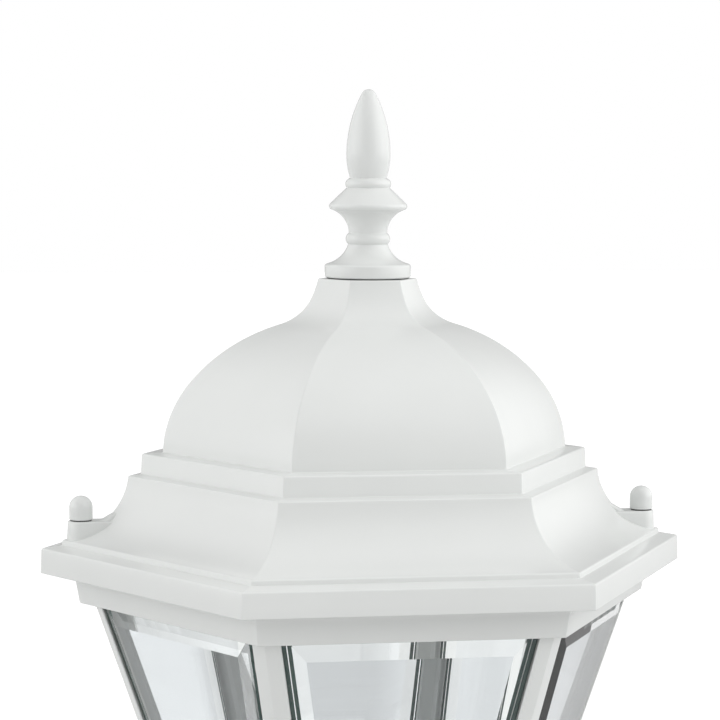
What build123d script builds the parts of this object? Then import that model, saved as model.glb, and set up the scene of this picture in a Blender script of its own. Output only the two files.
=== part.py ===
from build123d import *
import math
import os

# Post top lantern: a six-sided cast cage on a round fitter that drops over a
# lamp post, six bevelled panes between leaning corner posts, and a lift-off
# ogee roof held down by two cap nuts.
#
# Frame: the origin is the middle of the fitter's open mouth and +Z is up. Two
# of the six corners lie on the X axis, so the front side faces -Y.
# Lengths are millimetres. A six-sided profile is drawn as (a, z), where a is
# the distance from the axis to the flat of a side.

# ---------------------------------------------------------------- dimensions

SIDES = 6
STEP = 360 / SIDES
FLAT = math.cos(math.pi / SIDES)        # flat distance over corner radius
SLANT = math.tan(math.pi / SIDES)       # half a side over flat distance

# Heights from the fitter's mouth
POST_BORE_DEPTH = 58.0
FITTER_CEILING = 70.0
FITTER_TOP = 75.0
FLOOR_BOTTOM = 100.0
FLOOR_TOP = 105.0
CAGE_HEIGHT = 165.0                     # floor to the ring's lower edge
RING_BOTTOM = FLOOR_TOP + CAGE_HEIGHT

# Gallery ring, heights from its own lower edge
RING_FLANGE_BOTTOM = 6.1
RING_FLANGE_TOP = 9.6
RING_SEAT = 20.0                        # upper edge, where the roof rests
RING_INSIDE = 84.9                      # flat distance of the open middle
UPSTAND_IN = 104.6
UPSTAND_OUT = 107.6
FRIEZE_IN = 100.4
FRIEZE_BOTTOM = 101.85
FRIEZE_TOP = 103.1
FRIEZE_HEIGHT = 7.6
RING_SHOULDER = 12.2
RING_STUD_FOOT = 11.8
RING_BOSS_RADIUS = 5.0
RIM_TOP = RING_BOTTOM + 22.6

# Roof, heights from the rim's upper edge
WALL = 3.2
RIM_OUT = 115.2
RIM_HEIGHT = 10.1
RIM_THICK = 2.8
COVE_FOOT_STEP = 2.0
COVE_TOP = (84.9, 28.8)
COVE_RADIUS = 28.0
COVE_HEADING = -86.0
COVE_TURN = 76.0
COVE_INNER_SKIP = 8.0                   # part of the turn the inner face leaves out
COVE_INNER_TURN = 58.5
TIER_BOTTOM = (80.45, 29.6)
TIER_TOP = (80.1, 37.8)
DOME_FOOT = (72.75, 38.2)
DOME_HEADING = 91.4
DOME_ARCS = [(50.3, 34.5), (64.8, 35.4), (18.6, -49.6), (47.1, -10.0)]
EDGE_SOFTNESS = 0.7

# Studs and cap nuts that hold the roof
STUD_PLACE = 117.0
STUD_RADIUS = 2.08
STUD_CLEARANCE = 0.04
STUD_TOP = 18.9                         # above the rim's upper edge
BOSS_TOP = 11.0
BOSS_TOP_RADIUS = 5.2
BOSS_FOOT_RADIUS = 6.0
BOSS_BORE = 2.6
CAP_NUT_RADIUS = 4.7
CAP_NUT_STRAIGHT = 4.9
CAP_NUT_DEPTH = 8.6
CAP_WASHER_RADIUS = 4.3
CAP_WASHER_THICK = 0.5

# Finial
FINIAL_GASKET = 0.5
FINIAL_BASE_RADIUS = 17.6
FINIAL_HEIGHT = 76.4
FINIAL_STUD_RADIUS = 3.17

# Corner posts
POST_TOP_RADIUS = 111.5                 # outer edge at the ring's lower edge
LEAN = 0.354                            # inward travel over height
POST_HALF_WIDTH = 5.8
POST_CREST = 1.6                        # how far the middle stands proud
POST_LIP_BACK = 2.7
POST_CORE_HALF = 4.4
POST_DEPTH = 12.0

# Glass
GLASS_THICK = 4.0
GLASS_EDGE_THICK = 2.0
GLASS_BEVEL = 11.0
GLASS_GAP = 0.4
GLASS_SEAT = 0.16                       # slack between pane and post lip
GLASS_TOP = 274.2
PANE_LEAN = math.atan(LEAN * FLAT)

# Cage base and fitter
BASE_OUT = 51.8
BASE_LIP_IN = 49.3
BASE_LIP_HEIGHT = 4.0
BASE_COVE = 10.0
BASE_WALL = 3.0
BASE_FOOT = 39.8
FITTER_BORE = 39.2
FITTER_STOP = 34.5                      # radius above the ledge that the post's end meets
FITTER_OUT = 42.8
FITTER_FOOT = 44.8
FITTER_SHOULDER = 48.0
SET_SCREW_HEIGHT = 22.0
SET_SCREW_RADIUS = 3.17
SET_SCREW_ANGLES = (90, 210, 330)
SET_SCREW_STANDOFF = 5.0
SET_BOSS_RADIUS = 8.0
SET_BOSS_REACH = 47.0

# Wiring way and lampholder
NIPPLE_RADIUS = 4.8
NIPPLE_BORE = 3.4
NIPPLE_BOTTOM = 60.0
NIPPLE_TOP = 123.0
NIPPLE_NUT_FLATS = 14.3
NIPPLE_NUT_THICK = 5.0
LOCK_WASHER_THICK = 1.2
SOCKET_FOOT = 114.0
SOCKET_SPLIT = 127.0
SOCKET_TOP = 165.0
SOCKET_RADIUS = 18.0
SHELL_OUT = 13.8
SHELL_IN = 13.3

# Small screws
SCREW_RADIUS = 1.6
SCREW_HOLE = 1.7
SCREW_HEAD_RADIUS = 3.4
SCREW_HEAD_HEIGHT = 2.4
SCREW_HEAD_EDGE = 0.8
POST_SCREW_TOP_PLACE = 105.0
POST_SCREW_FOOT_PLACE = 48.0
CLIP_SCREW_PLACE = 89.5
CLIP_LEG = 5.5
GROUND_SCREW_PLACE = 28.0
WEEP_HOLE_PLACE = 36.0
SOCKET_SCREW_PLACE = 9.5


# ------------------------------------------------------------------- helpers

def heading(degrees):
    """Unit direction in a drawing, counted from the first axis."""
    turn = math.radians(degrees)
    return (math.cos(turn), math.sin(turn))


def arc_chain(start, direction, arcs):
    """Arcs of (radius, turn), each leaving along the end of the one before."""
    chain = []
    for radius, turn in arcs:
        arc = JernArc(start, heading(direction), radius, turn)
        chain.append(arc)
        start = arc.end_of_arc
        direction += turn
    return chain


def outline(*points):
    """A flat face inside straight lines through the points."""
    return make_face(Polyline(*points, close=True))


def soften(section, corners, radius):
    """Round those corners of a section that lie at the given points."""
    picked = [
        vertex
        for vertex in section.vertices()
        if any((Vector(vertex) - Vector(*corner)).length < 0.02 for corner in corners)
    ]
    return fillet(picked, radius)


def six_sided(section):
    """Carry a profile along one side, mitre its ends and repeat it round."""
    reach = 140.0
    side = extrude(Plane.YZ * section, amount=reach, both=True)
    sector = outline((0, 0), (reach * SLANT, reach), (-reach * SLANT, reach))
    mitre = extrude(sector, amount=2 * reach, both=True)
    side &= mitre
    return side.fuse(*[Rot(0, 0, STEP * i) * side for i in range(1, SIDES)]).clean()


def upright(radius, bottom, top):
    """A round bar standing on the axis between two heights."""
    bar = Cylinder(radius, top - bottom, align=(Align.CENTER, Align.CENTER, Align.MIN))
    return Pos(0, 0, bottom) * bar


def hex_nut(flats, bore, bottom, top):
    """A plain hexagon nut on the axis between two heights."""
    blank = extrude(RegularPolygon(flats / 2, 6, major_radius=False), amount=top - bottom)
    return Pos(0, 0, bottom) * blank - upright(bore, bottom, top)


def washer(radius, bore, bottom, top):
    """A flat ring on the axis between two heights."""
    return upright(radius, bottom, top) - upright(bore, bottom, top)


def pan_screw(length):
    """A screw pointing up, the seat of its domed head at height zero."""
    rise = SCREW_HEAD_HEIGHT - SCREW_HEAD_EDGE
    dome_radius = (SCREW_HEAD_RADIUS**2 + rise**2) / (2 * rise)
    sweep = math.degrees(math.asin(SCREW_HEAD_RADIUS / dome_radius))
    dome = JernArc((0, -SCREW_HEAD_HEIGHT), heading(0), dome_radius, sweep)
    body = Polyline(
        dome.end_of_arc,
        (SCREW_HEAD_RADIUS, 0),
        (SCREW_RADIUS, 0),
        (SCREW_RADIUS, length),
        (0, length),
        (0, -SCREW_HEAD_HEIGHT),
    )
    return revolve(Plane.XZ * make_face([dome, body]), Axis.Z)


def around(piece, angles):
    """Copies of a piece turned about the axis, kept as separate solids."""
    return Compound(children=[Rot(0, 0, angle) * piece for angle in angles])


def post_radius(height):
    """Radius of a corner post's outer edge at a height."""
    return POST_TOP_RADIUS + LEAN * (height - RING_BOTTOM)


def pane_inside(height):
    """Flat distance of a pane's inner face at a height."""
    lip = POST_HALF_WIDTH * math.sin(math.pi / SIDES) - POST_LIP_BACK * FLAT
    edge = (GLASS_SEAT + GLASS_EDGE_THICK) / math.cos(PANE_LEAN)
    return post_radius(height) * FLAT + lip - edge


# ---------------------------------------------------------------------- roof

def roof_section():
    """Half the roof's wall, rim to crown; also gives crown and ceiling heights."""
    dome = arc_chain(DOME_FOOT, DOME_HEADING, DOME_ARCS)
    neck = dome[-1].end_of_arc
    cove = arc_chain(COVE_TOP, COVE_HEADING, [(COVE_RADIUS, COVE_TURN)])
    cove_foot = cove[-1].end_of_arc
    ledge = (cove_foot.X + 0.2, cove_foot.Y - COVE_FOOT_STEP)
    rim_edge = (RIM_OUT, 0)
    rim_in = RIM_OUT - RIM_THICK
    seat_height = RING_BOTTOM + RING_SEAT - RIM_TOP

    inward = Vector(*heading(DOME_HEADING + 90)) * WALL
    inner_arcs = [(radius - math.copysign(WALL, turn), turn) for radius, turn in DOME_ARCS[:-1]]
    last_radius, last_turn = DOME_ARCS[-1]
    inner_arcs.append((last_radius + WALL, 0.7 * last_turn))
    inner_dome = arc_chain(Vector(*DOME_FOOT) + inward, DOME_HEADING, inner_arcs)
    inner_foot = Vector(*DOME_FOOT) + inward
    ceiling = inner_dome[-1].end_of_arc

    centre = Vector(*COVE_TOP) + Vector(*heading(COVE_HEADING + 90)) * COVE_RADIUS
    inner_heading = COVE_HEADING + COVE_INNER_SKIP
    inner_start = centre - Vector(*heading(inner_heading + 90)) * (COVE_RADIUS + WALL)
    inner_cove = JernArc(
        inner_start, heading(inner_heading), COVE_RADIUS + WALL, COVE_INNER_TURN
    )
    inner_end = inner_cove.end_of_arc

    section = make_face(
        [
            Polyline((rim_in, -RIM_HEIGHT), (RIM_OUT + 0.3, -RIM_HEIGHT), rim_edge, ledge, cove_foot),
            *cove,
            Polyline(COVE_TOP, TIER_BOTTOM, TIER_TOP, DOME_FOOT),
            *dome,
            Polyline(neck, (0, neck.Y), (0, ceiling.Y), ceiling),
            *inner_dome,
            Polyline(
                inner_foot,
                (inner_foot.X, TIER_TOP[1] - WALL),
                (TIER_TOP[0] - WALL, TIER_TOP[1] - WALL),
                (TIER_BOTTOM[0] - WALL, inner_start.Y),
                inner_start,
            ),
            inner_cove,
            Polyline(
                inner_end,
                (inner_end.X, seat_height),
                (rim_in, seat_height),
                (rim_in, -RIM_HEIGHT),
            ),
        ]
    )
    section = soften(section, [rim_edge, cove_foot, COVE_TOP, TIER_TOP, neck], EDGE_SOFTNESS)
    return section, neck.Y, ceiling.Y


def roof_casting():
    """Dome, stepped tier, cove and rim in one hollow casting, with two bosses."""
    section, crown, ceiling = roof_section()
    roof = six_sided(section)
    seat_height = RING_BOTTOM + RING_SEAT - RIM_TOP

    boss = Cone(
        BOSS_FOOT_RADIUS,
        BOSS_TOP_RADIUS,
        BOSS_TOP - seat_height,
        align=(Align.CENTER, Align.CENTER, Align.MIN),
    )
    boss = Pos(STUD_PLACE, 0, seat_height) * boss
    rib = outline(
        (-BOSS_FOOT_RADIUS, 2.0),
        (BOSS_FOOT_RADIUS, 2.0),
        (BOSS_TOP_RADIUS, BOSS_TOP),
        (-BOSS_TOP_RADIUS, BOSS_TOP),
    )
    rib = extrude(Plane.YZ.offset(STUD_PLACE) * rib, amount=-13.0)
    bore = Pos(STUD_PLACE, 0, 0) * upright(BOSS_BORE, seat_height - 1, BOSS_TOP + 1)
    for angle in (0, 180):
        roof += Rot(0, 0, angle) * (boss + rib)
    for angle in (0, 180):
        roof -= Rot(0, 0, angle) * bore
    roof -= upright(FINIAL_STUD_RADIUS + 0.1, ceiling - 1, crown + 1)
    return Pos(0, 0, RIM_TOP) * roof, RIM_TOP + crown, RIM_TOP + ceiling


def finial_profile():
    """Half the finial's outline, from the axis at its base up to its tip."""
    tip = (0, FINIAL_HEIGHT)
    bullet = arc_chain(tip, 0, [(3.2, -62.0), (52.3, -28.0), (34.1, -16.6)])
    foot = bullet[-1].end_of_arc
    return make_face(
        bullet
        + [
            Polyline(foot, (8.2, 40.0)),
            ThreePointArc((8.2, 40.0), (9.35, 37.8), (8.8, 36.4)),
            Polyline((8.8, 36.4), (9.2, 36.1), (15.6, 29.9)),
            ThreePointArc((15.6, 29.9), (15.9, 28.5), (14.6, 27.4)),
            ThreePointArc((14.6, 27.4), (9.4, 23.2), (7.85, 18.0)),
            ThreePointArc((7.85, 18.0), (9.1, 15.8), (8.1, 13.5)),
            ThreePointArc((8.1, 13.5), (10.6, 9.1), (15.4, 5.9)),
            Polyline((15.4, 5.9), (17.0, 5.4), (FINIAL_BASE_RADIUS, 4.8)),
            Polyline((FINIAL_BASE_RADIUS, 4.8), (FINIAL_BASE_RADIUS, 0.5), (17.1, 0)),
            Polyline((17.1, 0), (0, 0), tip),
        ]
    )


def finial(roof_top):
    """Turned finial with a blind tapped hole for its stud."""
    seat = roof_top + FINIAL_GASKET
    body = Pos(0, 0, seat) * revolve(Plane.XZ * finial_profile(), Axis.Z)
    return body - upright(FINIAL_STUD_RADIUS + 0.03, seat, seat + 16)


# ------------------------------------------------------------- gallery ring

def gallery_ring():
    """Moulded ring on top of the corner posts: frieze, flange and upstand."""
    cove_top = (UPSTAND_OUT - 2.4, FRIEZE_HEIGHT + 3.6)
    cove = TangentArc((FRIEZE_TOP, FRIEZE_HEIGHT), cove_top, tangent=(0.16, 1))
    rest = Polyline(
        cove_top,
        (UPSTAND_OUT, cove_top[1] + 1.4),
        (UPSTAND_OUT, RING_SEAT),
        (UPSTAND_IN, RING_SEAT),
        (UPSTAND_IN, RING_SHOULDER + 2.0),
        (UPSTAND_IN - 3.1, RING_SHOULDER),
        (UPSTAND_IN - 3.1, RING_FLANGE_TOP),
        (RING_INSIDE, RING_FLANGE_TOP),
        (RING_INSIDE, RING_FLANGE_BOTTOM),
        (FRIEZE_IN, RING_FLANGE_BOTTOM),
        (FRIEZE_IN, 0),
        (FRIEZE_BOTTOM, 0),
        (FRIEZE_TOP, FRIEZE_HEIGHT),
    )
    ring = six_sided(make_face([cove, rest]))
    for angle in (0, 180):
        boss = upright(RING_BOSS_RADIUS, RING_SHOULDER, RING_SEAT - 0.5)
        ring += Rot(0, 0, angle) * Pos(STUD_PLACE, 0, 0) * boss
    for angle in (0, 180):
        tapped = upright(STUD_RADIUS + STUD_CLEARANCE, RING_STUD_FOOT, RING_SEAT)
        ring -= Rot(0, 0, angle) * Pos(STUD_PLACE, 0, 0) * tapped
    screw_hole = upright(SCREW_HOLE, RING_FLANGE_BOTTOM - 1, RING_FLANGE_TOP + 1)
    for i in range(SIDES):
        ring -= Rot(0, 0, STEP * i) * Pos(POST_SCREW_TOP_PLACE, 0, 0) * screw_hole
        ring -= Rot(0, 0, STEP * (i + 0.5)) * Pos(CLIP_SCREW_PLACE, 0, 0) * screw_hole
    return Pos(0, 0, RING_BOTTOM) * ring


# ------------------------------------------------------------- corner posts

def corner_post():
    """The post at the +X corner: a crested face, two glass lips and a core."""
    half = POST_HALF_WIDTH
    lip_root = POST_LIP_BACK - (half - POST_CORE_HALF) * SLANT
    side = [
        (-POST_CREST, half),
        (-POST_LIP_BACK, half),
        (-lip_root, POST_CORE_HALF),
        (-POST_DEPTH + 1.5, POST_CORE_HALF),
        (-POST_DEPTH, POST_CORE_HALF - 1.5),
    ]
    other_side = [(u, -t) for u, t in reversed(side)]
    section = outline((0, 0), *side, *other_side)
    section = soften(section, [(0, 0)], 1.0)
    section = soften(section, [(-POST_CREST, half), (-POST_CREST, -half)], 0.4)
    height = RING_BOTTOM + RING_FLANGE_BOTTOM - FLOOR_TOP
    slope = Vector(LEAN, 0, 1)
    foot = Pos(post_radius(FLOOR_TOP), 0, FLOOR_TOP) * section
    post = extrude(foot, amount=height * slope.length, dir=slope.normalized())
    top = RING_BOTTOM + RING_FLANGE_BOTTOM
    post -= Pos(POST_SCREW_TOP_PLACE, 0, 0) * upright(SCREW_HOLE, top - 11, top)
    post -= Pos(POST_SCREW_FOOT_PLACE, 0, 0) * upright(SCREW_HOLE, FLOOR_TOP, FLOOR_TOP + 11)
    return post


# -------------------------------------------------------------------- glass

def glass_pane():
    """The pane on the +Y side: a leaning trapezoid, bevelled on the outside."""
    sill = FLOOR_TOP + GLASS_EDGE_THICK * math.sin(PANE_LEAN)
    length = (GLASS_TOP - sill) / math.cos(PANE_LEAN)
    inside = Plane(
        origin=(0, pane_inside(sill), sill),
        x_dir=(-1, 0, 0),
        z_dir=(0, math.cos(PANE_LEAN), -math.sin(PANE_LEAN)),
    )
    margin = (POST_CORE_HALF + GLASS_GAP) / FLAT
    foot_half = pane_inside(sill) * SLANT - margin
    head_half = pane_inside(GLASS_TOP) * SLANT - margin
    flare = (head_half - foot_half) / length
    inset = GLASS_BEVEL * math.sqrt(1 + flare**2)

    def trapezoid(low, high, shrink):
        """The pane's outline between two distances up the slope."""
        foot = foot_half + flare * low - shrink
        head = foot_half + flare * high - shrink
        return outline((-foot, low), (foot, low), (head, high), (-head, high))

    slab = extrude(inside * trapezoid(0, length, 0), amount=GLASS_EDGE_THICK)
    bevel = loft(
        [
            inside.offset(GLASS_EDGE_THICK) * trapezoid(0, length, 0),
            inside.offset(GLASS_THICK) * trapezoid(GLASS_BEVEL, length - GLASS_BEVEL, inset),
        ],
        ruled=True,
    )
    return (slab + bevel).clean()


def glass_clip():
    """Spring clip at the middle of the +Y side, pressing the pane outwards."""
    top = RING_BOTTOM + RING_FLANGE_BOTTOM
    thick = 0.8
    slack = 0.03
    low = top - CLIP_LEG
    section = outline(
        (86.5, top),
        (pane_inside(top) - slack, top),
        (pane_inside(low) - slack, low),
        (pane_inside(low) - slack - thick, low),
        (pane_inside(top - thick) - slack - thick, top - thick),
        (86.5, top - thick),
    )
    clip = extrude(Plane.YZ * section, amount=7.0, both=True)
    return clip - Pos(0, CLIP_SCREW_PLACE, 0) * upright(SCREW_HOLE, top - 2, top + 1)


# ----------------------------------------------------------- base and fitter

def cage_base():
    """Six-sided floor casting: a tray for posts and glass over a hollow neck."""
    cove_top = (BASE_FOOT + BASE_COVE, FLOOR_BOTTOM - 2.5)
    cove = JernArc(cove_top, heading(180), BASE_COVE, 90)
    centre = (cove_top[0], cove_top[1] - BASE_COVE)
    inner_radius = BASE_COVE + BASE_WALL
    inner_rise = FLOOR_BOTTOM - centre[1]
    inner_run = math.sqrt(inner_radius**2 - inner_rise**2)
    inner_start = (centre[0] - inner_run, FLOOR_BOTTOM)
    inner_end = (centre[0] - inner_radius, centre[1])
    bend = math.radians(150)
    inner_mid = (
        centre[0] + inner_radius * math.cos(bend),
        centre[1] + inner_radius * math.sin(bend),
    )
    section = make_face(
        [
            cove,
            Polyline((BASE_FOOT, centre[1]), (BASE_FOOT, FITTER_TOP), (inner_end[0], FITTER_TOP), inner_end),
            ThreePointArc(inner_end, inner_mid, inner_start),
            Polyline(
                inner_start,
                (0, FLOOR_BOTTOM),
                (0, FLOOR_TOP),
                (BASE_LIP_IN, FLOOR_TOP),
                (BASE_LIP_IN, FLOOR_TOP + BASE_LIP_HEIGHT),
                (BASE_OUT, FLOOR_TOP + BASE_LIP_HEIGHT),
                (BASE_OUT, FLOOR_BOTTOM - 0.5),
                cove_top,
            ),
        ]
    )
    base = six_sided(section)
    base -= upright(NIPPLE_RADIUS + 0.2, FLOOR_BOTTOM - 1, FLOOR_TOP + 1)
    base -= Pos(GROUND_SCREW_PLACE, 0, 0) * upright(2.1, FLOOR_BOTTOM - 1, FLOOR_TOP + 1)
    screw_hole = upright(SCREW_HOLE, FLOOR_BOTTOM - 1, FLOOR_TOP + 1)
    head_seat = upright(SCREW_HEAD_RADIUS + 0.3, FLOOR_BOTTOM - 3, FLOOR_BOTTOM)
    weep_hole = upright(2.0, FLOOR_BOTTOM - 1, FLOOR_TOP + 1)
    for i in range(SIDES):
        base -= Rot(0, 0, STEP * i) * Pos(POST_SCREW_FOOT_PLACE, 0, 0) * (screw_hole + head_seat)
        base -= Rot(0, 0, STEP * (i + 0.5)) * Pos(WEEP_HOLE_PLACE, 0, 0) * weep_hole
    return base


def post_fitter():
    """Round collar that drops over the lamp post, with three screw bosses."""
    flare = ThreePointArc((FITTER_OUT, 54), (43.9, 61), (FITTER_SHOULDER, 66.5))
    section = make_face(
        [
            Polyline((FITTER_FOOT, 0), (FITTER_FOOT, 6), (FITTER_OUT, 8.5), (FITTER_OUT, 54)),
            flare,
            Polyline(
                (FITTER_SHOULDER, 66.5),
                (FITTER_SHOULDER, FITTER_TOP - 1),
                (FITTER_SHOULDER - 1, FITTER_TOP),
                (NIPPLE_RADIUS + 0.2, FITTER_TOP),
                (NIPPLE_RADIUS + 0.2, FITTER_CEILING),
                (FITTER_STOP, FITTER_CEILING),
                (FITTER_STOP, POST_BORE_DEPTH),
                (FITTER_BORE, POST_BORE_DEPTH),
                (FITTER_BORE, 0),
                (FITTER_FOOT, 0),
            ),
        ]
    )
    fitter = revolve(Plane.XZ * section, Axis.Z)
    outside = Rot(0, 90, 0) * upright(SET_BOSS_RADIUS, FITTER_BORE + 1, SET_BOSS_REACH)
    tapped = Rot(0, 90, 0) * upright(SET_SCREW_RADIUS + 0.03, FITTER_BORE - 2, SET_BOSS_REACH + 1)
    lift = Pos(0, 0, SET_SCREW_HEIGHT)
    for angle in SET_SCREW_ANGLES:
        fitter += Rot(0, 0, angle) * lift * outside
    for angle in SET_SCREW_ANGLES:
        fitter -= Rot(0, 0, angle) * lift * tapped
    return fitter


def set_screw(angle):
    """Hexagon-head set screw, backed out so that its tip is inside the wall."""
    tip = FITTER_BORE + 0.8
    seat = SET_BOSS_REACH + SET_SCREW_STANDOFF
    shank = upright(SET_SCREW_RADIUS, tip, seat)
    head = Pos(0, 0, seat) * extrude(RegularPolygon(5.55, 6, major_radius=False), amount=4.4)
    crown = Pos(0, 0, seat - 1) * Cone(9.0, 4.6, 6.2, align=(Align.CENTER, Align.CENTER, Align.MIN))
    screw = shank + (head & crown)
    return Rot(0, 0, angle) * Pos(0, 0, SET_SCREW_HEIGHT) * Rot(0, 90, 0) * screw


# --------------------------------------------------------------- lampholder

def socket_base():
    """Cap under the lampholder, threaded on the hollow nipple."""
    profile = outline(
        (NIPPLE_RADIUS + 0.04, SOCKET_FOOT),
        (12.5, SOCKET_FOOT),
        (16.0, SOCKET_FOOT + 4),
        (16.0, SOCKET_SPLIT),
        (NIPPLE_RADIUS + 0.04, SOCKET_SPLIT),
    )
    cap = revolve(Plane.XZ * profile, Axis.Z)
    for side in (-1, 1):
        cap -= Pos(side * SOCKET_SCREW_PLACE, 0, 0) * upright(SCREW_HOLE, SOCKET_FOOT, SOCKET_SPLIT)
    return cap


def socket_body():
    """Glazed lampholder body with the cavity for the screw shell."""
    profile = outline(
        (0, SOCKET_SPLIT),
        (16.5, SOCKET_SPLIT),
        (SOCKET_RADIUS, SOCKET_SPLIT + 3),
        (SOCKET_RADIUS, SOCKET_TOP - 2),
        (SOCKET_RADIUS - 1.5, SOCKET_TOP),
        (SHELL_OUT + 0.05, SOCKET_TOP),
        (SHELL_OUT + 0.05, SOCKET_SPLIT + 9),
        (0, SOCKET_SPLIT + 9),
    )
    body = revolve(Plane.XZ * profile, Axis.Z)
    for side in (-1, 1):
        body -= Pos(side * SOCKET_SCREW_PLACE, 0, 0) * upright(SCREW_HOLE, SOCKET_SPLIT, SOCKET_SPLIT + 6)
    return body


def socket_contact():
    """Sprung centre contact: a button on a disc at the bottom of the cavity."""
    floor = SOCKET_SPLIT + 9
    button = Pos(0, 0, floor + 1) * Cone(3.2, 2.2, 2.4, align=(Align.CENTER, Align.CENTER, Align.MIN))
    return upright(6.0, floor, floor + 1) + button


# ----------------------------------------------------------------- assembly

SIDE_NAMES = ("back", "back_left", "front_left", "front", "front_right", "back_right")
CORNER_NAMES = ("right", "back_right", "back_left", "left", "front_left", "front_right")
EACH_SIDE = [STEP * i for i in range(SIDES)]

nodes = {}

roof, roof_top, ceiling = roof_casting()
nodes["roof_casting"] = roof
nodes["finial_gasket"] = washer(
    FINIAL_BASE_RADIUS - 0.9, FINIAL_STUD_RADIUS + 0.1, roof_top, roof_top + FINIAL_GASKET
)
nodes["finial"] = finial(roof_top)
nodes["finial_washer"] = washer(8.0, FINIAL_STUD_RADIUS + 0.1, ceiling - 1.6, ceiling)
nodes["finial_nut"] = hex_nut(11.1, FINIAL_STUD_RADIUS + 0.03, ceiling - 7.1, ceiling - 1.6)
nodes["finial_stud"] = upright(FINIAL_STUD_RADIUS, ceiling - 8.6, roof_top + 15)

nodes["gallery_ring"] = gallery_ring()

boss_top = RIM_TOP + BOSS_TOP
nut_foot = boss_top + CAP_WASHER_THICK
nut_dome = JernArc((0, CAP_NUT_STRAIGHT + CAP_NUT_RADIUS), heading(0), CAP_NUT_RADIUS, -90)
nut_side = Polyline(
    nut_dome.end_of_arc,
    (CAP_NUT_RADIUS, 0.3),
    (CAP_NUT_RADIUS - 0.3, 0),
    (0, 0),
    (0, CAP_NUT_STRAIGHT + CAP_NUT_RADIUS),
)
cap_nut = Pos(0, 0, nut_foot) * revolve(Plane.XZ * make_face([nut_dome, nut_side]), Axis.Z)
cap_nut -= upright(STUD_RADIUS + STUD_CLEARANCE, nut_foot, nut_foot + CAP_NUT_DEPTH)
cap_washer = washer(CAP_WASHER_RADIUS, STUD_RADIUS + 0.1, boss_top, nut_foot)
ring_flange_top = RING_BOTTOM + RING_FLANGE_TOP
ring_flange_bottom = RING_BOTTOM + RING_FLANGE_BOTTOM
roof_stud = upright(STUD_RADIUS, RING_BOTTOM + RING_STUD_FOOT + 0.1, RIM_TOP + STUD_TOP)
for name, side in (("left", -1), ("right", 1)):
    place = Pos(side * STUD_PLACE, 0, 0)
    nodes[f"cap_nut_{name}"] = place * cap_nut
    nodes[f"cap_washer_{name}"] = place * cap_washer
    nodes[f"roof_stud_{name}"] = place * roof_stud

post = corner_post()
pane = glass_pane()
for name, angle in zip(CORNER_NAMES, EACH_SIDE):
    nodes[f"corner_post_{name}"] = Rot(0, 0, angle) * post
for name, angle in zip(SIDE_NAMES, EACH_SIDE):
    nodes[f"glass_pane_{name}"] = Rot(0, 0, angle) * pane
nodes["glass_clips"] = around(glass_clip(), EACH_SIDE)
clip_screw = Pos(0, CLIP_SCREW_PLACE, ring_flange_bottom - 0.8) * pan_screw(4.0)
nodes["clip_screws"] = around(clip_screw, EACH_SIDE)
top_screw = Pos(POST_SCREW_TOP_PLACE, 0, ring_flange_top) * Rot(180, 0, 0) * pan_screw(13.0)
nodes["post_screws_top"] = around(top_screw, EACH_SIDE)
foot_screw = Pos(POST_SCREW_FOOT_PLACE, 0, FLOOR_BOTTOM) * pan_screw(14.0)
nodes["post_screws_foot"] = around(foot_screw, EACH_SIDE)

nodes["cage_base"] = cage_base()
nodes["post_fitter"] = post_fitter()
for number, angle in enumerate(SET_SCREW_ANGLES, 1):
    nodes[f"set_screw_{number}"] = set_screw(angle)

nodes["wire_nipple"] = washer(NIPPLE_RADIUS, NIPPLE_BORE, NIPPLE_BOTTOM, NIPPLE_TOP)
lower_washer = washer(8.5, NIPPLE_RADIUS + 0.1, FITTER_CEILING - LOCK_WASHER_THICK, FITTER_CEILING)
upper_washer = washer(8.5, NIPPLE_RADIUS + 0.1, FLOOR_TOP, FLOOR_TOP + LOCK_WASHER_THICK)
nodes["nipple_washers"] = Compound(children=[lower_washer, upper_washer])
lower_nut_top = FITTER_CEILING - LOCK_WASHER_THICK
upper_nut_foot = FLOOR_TOP + LOCK_WASHER_THICK
nut_bore = NIPPLE_RADIUS + 0.04
nodes["nipple_nut_lower"] = hex_nut(
    NIPPLE_NUT_FLATS, nut_bore, lower_nut_top - NIPPLE_NUT_THICK, lower_nut_top
)
nodes["nipple_nut_upper"] = hex_nut(
    NIPPLE_NUT_FLATS, nut_bore, upper_nut_foot, upper_nut_foot + NIPPLE_NUT_THICK
)
nodes["socket_base"] = socket_base()
nodes["socket_body"] = socket_body()
nodes["socket_shell"] = washer(SHELL_OUT, SHELL_IN, SOCKET_SPLIT + 11, SOCKET_TOP - 2)
nodes["socket_contact"] = socket_contact()
socket_screw = Pos(SOCKET_SCREW_PLACE, 0, SOCKET_FOOT) * pan_screw(SOCKET_SPLIT + 5 - SOCKET_FOOT)
nodes["socket_screws"] = around(socket_screw, (0, 180))
nodes["ground_screw"] = Pos(GROUND_SCREW_PLACE, 0, FLOOR_TOP) * Rot(180, 0, 0) * pan_screw(8.0)

os.makedirs("parts", exist_ok=True)
for name, shape in nodes.items():
    export_step(shape, f"parts/{name}.step")
print(len(nodes), "nodes, height", round(nodes["finial"].bounding_box().max.Z, 2))
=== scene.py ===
# %% [markdown]
# # A post top lantern
# The lantern is a white six-sided cast cage with an ogee roof, a turned finial, bevelled
# panes and a round fitter for a lamp post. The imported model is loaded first. It gives each
# piece its place, and it stays as it is: every new piece is drawn around it in metres.

# %% Load the frame
import math

import bpy
import numpy as np
from mathutils import Matrix


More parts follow.
